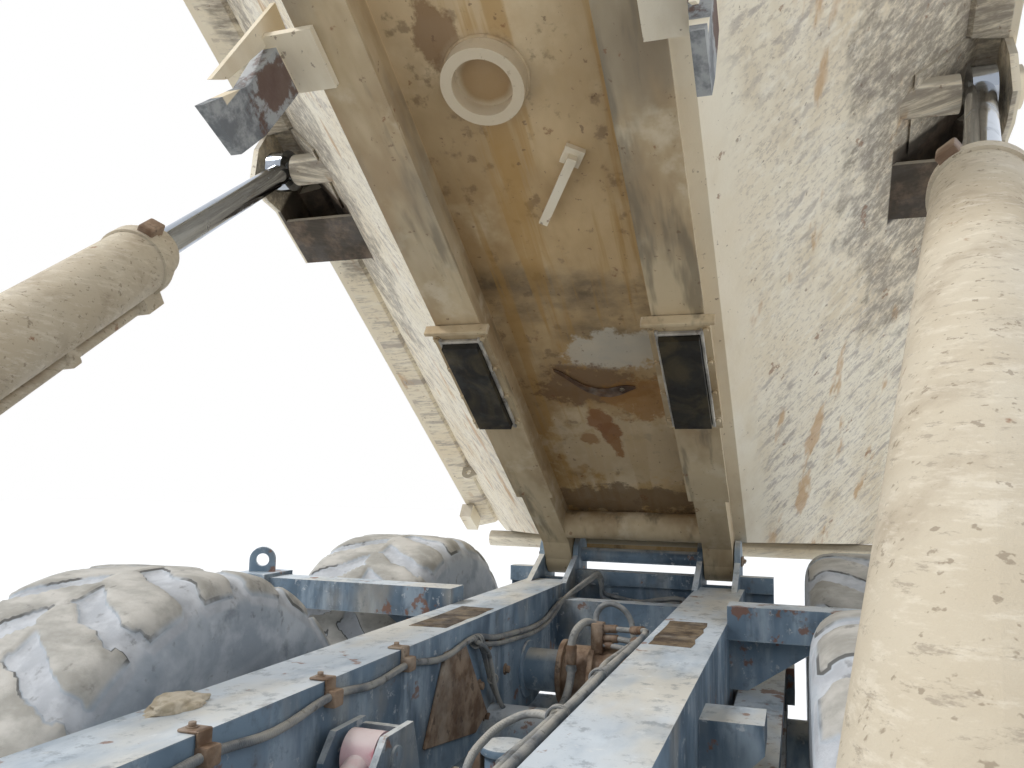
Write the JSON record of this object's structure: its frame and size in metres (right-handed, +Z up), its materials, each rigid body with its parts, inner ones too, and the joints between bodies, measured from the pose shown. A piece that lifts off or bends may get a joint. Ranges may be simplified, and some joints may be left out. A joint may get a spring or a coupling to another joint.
{
  "type": "articulated dump truck",
  "caption": "Six-wheel articulated dump truck with its dump body raised on two hoist cylinders, centre-hinge steering, cab and tipping hood.",
  "frame": {"origin": "on the ground, in the middle plane, halfway along the whole truck with its body raised", "axes": "+X to the truck's front, +Y to its left, +Z up"},
  "size_m": [10.7614, 2.916, 5.4861],
  "materials": {
    "frame_paint": "blue-grey frame paint under dust, worn through to rust in places",
    "body_paint": "dirty cream paint with dry mud, rain streaks and rust",
    "cab_paint": "cream paint, dusty, semi-gloss",
    "dark_paint": "dull black paint with dust",
    "tyre_rubber": "dusty grey-brown rubber, worn lugs",
    "rod_chrome": "polished rod",
    "window_glass": "clear, a little dusty",
    "pad_rubber": "black, dusty",
    "hose_sheath": "grey-beige sheath, dusty",
    "lamp_plastic": "red lens",
    "seat_fabric": "dark woven cover",
    "dash_plastic": "grained dark plastic"
  },
  "bodies": {
    "rear_frame": {"rear_frame": "frame_paint", "anchor_beams": "frame_paint", "walking_beams": "frame_paint", "bogie_axles": "frame_paint", "drive_line": "dark_paint", "frame_hoses": "hose_sheath", "tail_lamps": "lamp_plastic"},
    "hitch": {"hitch": "frame_paint"},
    "front_frame": {"front_frame": "frame_paint", "bumper": "dark_paint", "engine": "dark_paint", "cab_shell": "cab_paint", "cab_glass": "window_glass", "driver_seat": "seat_fabric", "controls": "dash_plastic", "fenders": "cab_paint", "side_steps": "dark_paint", "exhaust": "dark_paint", "mirrors": "dark_paint", "front_axle": "frame_paint"},
    "hood": {"hood": "cab_paint", "grille": "dark_paint"},
    "cab_door": {"cab_door": "cab_paint", "door_glass": "window_glass"},
    "dump_body": {"body_shell": "body_paint", "body_rails": "body_paint", "body_pads": "pad_rubber", "hoist_housings": "body_paint", "body_fittings": "body_paint"},
    "hoist_barrel_left": {"hoist_barrel_left": "body_paint"},
    "hoist_rod_left": {"hoist_rod_left": "rod_chrome"},
    "steer_barrel_left": {"steer_barrel_left": "dark_paint"},
    "steer_rod_left": {"steer_rod_left": "rod_chrome"},
    "hoist_barrel_right": {"hoist_barrel_right": "body_paint"},
    "hoist_rod_right": {"hoist_rod_right": "rod_chrome"},
    "steer_barrel_right": {"steer_barrel_right": "dark_paint"},
    "steer_rod_right": {"steer_rod_right": "rod_chrome"},
    "wheel_front_left": {"rim_front_left": "cab_paint", "tyre_front_left": "tyre_rubber"},
    "wheel_front_right": {"rim_front_right": "cab_paint", "tyre_front_right": "tyre_rubber"},
    "wheel_mid_left": {"rim_mid_left": "cab_paint", "tyre_mid_left": "tyre_rubber"},
    "wheel_mid_right": {"rim_mid_right": "cab_paint", "tyre_mid_right": "tyre_rubber"},
    "wheel_rear_left": {"rim_rear_left": "cab_paint", "tyre_rear_left": "tyre_rubber"},
    "wheel_rear_right": {"rim_rear_right": "cab_paint", "tyre_rear_right": "tyre_rubber"}
  },
  "joints": [
    {"name": "hitch_roll", "type": "hinge", "parent": "rear_frame", "child": "hitch", "pos_m": [0.59669, 0, 1.08], "axis": [1, 0, 0], "range_deg": [-15, 15]},
    {"name": "steering", "type": "hinge", "parent": "hitch", "child": "front_frame", "pos_m": [1.10169, 0, 1.08], "axis": [0, 0, 1], "range_deg": [-42, 42]},
    {"name": "body_tip", "type": "hinge", "parent": "rear_frame", "child": "dump_body", "pos_m": [-3.65831, 0, 1.49], "axis": [0, -1, 0], "range_deg": [-32.9, 37.1]},
    {"name": "hoist_swing_left", "type": "hinge", "parent": "rear_frame", "child": "hoist_barrel_left", "pos_m": [0.70338, 0.67325, 1.03625], "axis": [0.3759, 0.8758, 0.3029], "range_deg": [-8, 9]},
    {"name": "hoist_stroke_left", "type": "slide", "parent": "hoist_barrel_left", "child": "hoist_rod_left", "axis": [-0.8249, 0.1676, 0.5398], "range_m": [-1.041, 1.174]},
    {"name": "hoist_swing_right", "type": "hinge", "parent": "rear_frame", "child": "hoist_barrel_right", "pos_m": [0.70338, -0.67325, 1.03625], "axis": [-0.3759, 0.8758, -0.3029], "range_deg": [-8, 9]},
    {"name": "hoist_stroke_right", "type": "slide", "parent": "hoist_barrel_right", "child": "hoist_rod_right", "axis": [-0.8249, -0.1676, 0.5398], "range_m": [-1.041, 1.174]},
    {"name": "steer_swing_left", "type": "hinge", "parent": "front_frame", "child": "steer_barrel_left", "pos_m": [1.99169, 0.5, 1.13], "axis": [0, 0, 1], "range_deg": [-2.6, 2.6]},
    {"name": "steer_stroke_left", "type": "slide", "parent": "steer_barrel_left", "child": "steer_rod_left", "axis": [-0.9869, -0.1613, 0], "range_m": [-0.24, 0.24]},
    {"name": "steer_swing_right", "type": "hinge", "parent": "front_frame", "child": "steer_barrel_right", "pos_m": [1.99169, -0.5, 1.13], "axis": [0, 0, 1], "range_deg": [-2.6, 2.6]},
    {"name": "steer_stroke_right", "type": "slide", "parent": "steer_barrel_right", "child": "steer_rod_right", "axis": [-0.9869, 0.1613, 0], "range_m": [-0.24, 0.24]},
    {"name": "wheel_front_left_spin", "type": "hinge", "parent": "front_frame", "child": "wheel_front_left", "pos_m": [2.61669, 1.05, 0.79], "axis": [0, 1, 0], "continuous": true},
    {"name": "wheel_front_right_spin", "type": "hinge", "parent": "front_frame", "child": "wheel_front_right", "pos_m": [2.61669, -1.05, 0.79], "axis": [0, 1, 0], "continuous": true},
    {"name": "wheel_mid_left_spin", "type": "hinge", "parent": "rear_frame", "child": "wheel_mid_left", "pos_m": [-1.55831, 1.05, 0.79], "axis": [0, 1, 0], "continuous": true},
    {"name": "wheel_mid_right_spin", "type": "hinge", "parent": "rear_frame", "child": "wheel_mid_right", "pos_m": [-1.55831, -1.05, 0.79], "axis": [0, 1, 0], "continuous": true},
    {"name": "wheel_rear_left_spin", "type": "hinge", "parent": "rear_frame", "child": "wheel_rear_left", "pos_m": [-3.24831, 1.05, 0.79], "axis": [0, 1, 0], "continuous": true},
    {"name": "wheel_rear_right_spin", "type": "hinge", "parent": "rear_frame", "child": "wheel_rear_right", "pos_m": [-3.24831, -1.05, 0.79], "axis": [0, 1, 0], "continuous": true},
    {"name": "cab_door_hinge", "type": "hinge", "parent": "front_frame", "child": "cab_door", "pos_m": [2.90769, 0.848, 2.5], "axis": [0, 0, -1], "range_deg": [0, 85]},
    {"name": "hood_hinge", "type": "hinge", "parent": "front_frame", "child": "hood", "pos_m": [5.32169, 0, 1.42], "axis": [0, 1, 0], "range_deg": [0, 60]}
  ],
  "couplings": [
    {"joint": "hoist_swing_left", "follows": "body_tip", "ratio": 0.2414},
    {"joint": "hoist_stroke_left", "follows": "body_tip", "m_per_rad": 1.8107},
    {"joint": "steer_swing_left", "follows": "steering", "ratio": -0.0596},
    {"joint": "steer_stroke_left", "follows": "steering", "m_per_rad": -0.3254},
    {"joint": "hoist_swing_right", "follows": "body_tip", "ratio": 0.2414},
    {"joint": "hoist_stroke_right", "follows": "body_tip", "m_per_rad": 1.8107},
    {"joint": "steer_swing_right", "follows": "steering", "ratio": -0.0596},
    {"joint": "steer_stroke_right", "follows": "steering", "m_per_rad": 0.3254}
  ]
}
